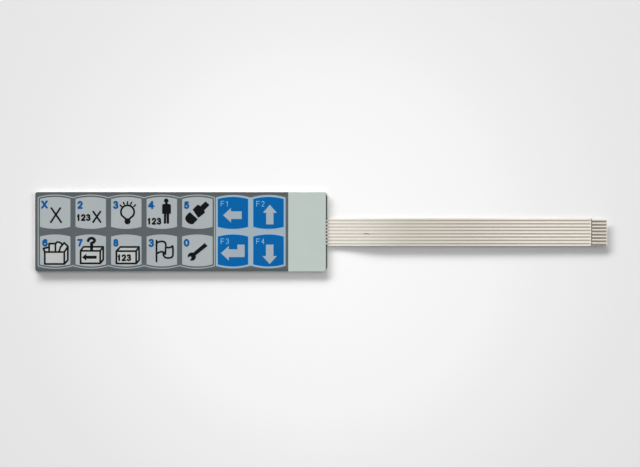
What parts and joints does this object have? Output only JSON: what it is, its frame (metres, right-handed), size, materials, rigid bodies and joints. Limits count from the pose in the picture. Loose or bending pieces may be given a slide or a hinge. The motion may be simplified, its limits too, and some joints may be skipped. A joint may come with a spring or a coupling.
{
  "type": "membrane keypad",
  "caption": "Flat self-adhesive membrane keypad: two rows of printed keys over snap domes, with a straight flat tail ending in contact fingers.",
  "frame": {"origin": "centre of the panel's flat rear face", "axes": "+X along the panel towards the tail, +Y towards the upper row of keys, +Z out of the key face"},
  "size_m": [0.4401, 0.061, 0.002],
  "materials": {
    "liner_paper": "siliconised paper, satin",
    "adhesive": "acrylic adhesive",
    "backing": "dark polyester sheet, matt",
    "circuit_polyester": "cream translucent polyester",
    "cover_film": "clear laminated polyester",
    "carbon_print": "carbon ink over silver",
    "stiffener_polyester": "cream polyester",
    "spacer_polyester": "translucent polyester",
    "dome_steel": "stainless spring steel",
    "silver_print": "matt silver ink",
    "overlay_polyester": "fine satin texture",
    "dark_ink": "screen print, satin",
    "key_grey_ink": "screen print, satin",
    "surround_ink": "screen print, satin",
    "blue_ink": "screen print, satin"
  },
  "bodies": {
    "root": {"release_liner": "liner_paper", "rear_adhesive": "adhesive", "backing_sheet": "backing", "circuit_adhesive": "adhesive", "circuit_film": "circuit_polyester", "tail_cover_film": "cover_film", "contact_fingers": "carbon_print", "tail_stiffener": "stiffener_polyester", "dome_spacer": "spacer_polyester", "dome_retainer": "spacer_polyester", "overlay_adhesive": "adhesive", "overlay_film": "overlay_polyester", "print_dark_field": "dark_ink", "print_contour_line": "key_grey_ink", "print_grey_keys": "key_grey_ink", "print_blue_surround": "surround_ink", "print_blue_keys": "blue_ink", "row_track_1": "silver_print", "row_track_2": "silver_print", "row_track_3": "silver_print", "row_track_4": "silver_print", "column_track_1": "silver_print", "column_track_2": "silver_print", "column_track_3": "silver_print", "column_track_4": "silver_print", "dome_1": "dome_steel", "dome_2": "dome_steel", "dome_3": "dome_steel", "dome_4": "dome_steel", "dome_5": "dome_steel", "dome_f1": "dome_steel", "dome_f2": "dome_steel", "dome_6": "dome_steel", "dome_7": "dome_steel", "dome_8": "dome_steel", "dome_9": "dome_steel", "dome_0": "dome_steel", "dome_f3": "dome_steel", "dome_f4": "dome_steel"}
  },
  "joints": []
}
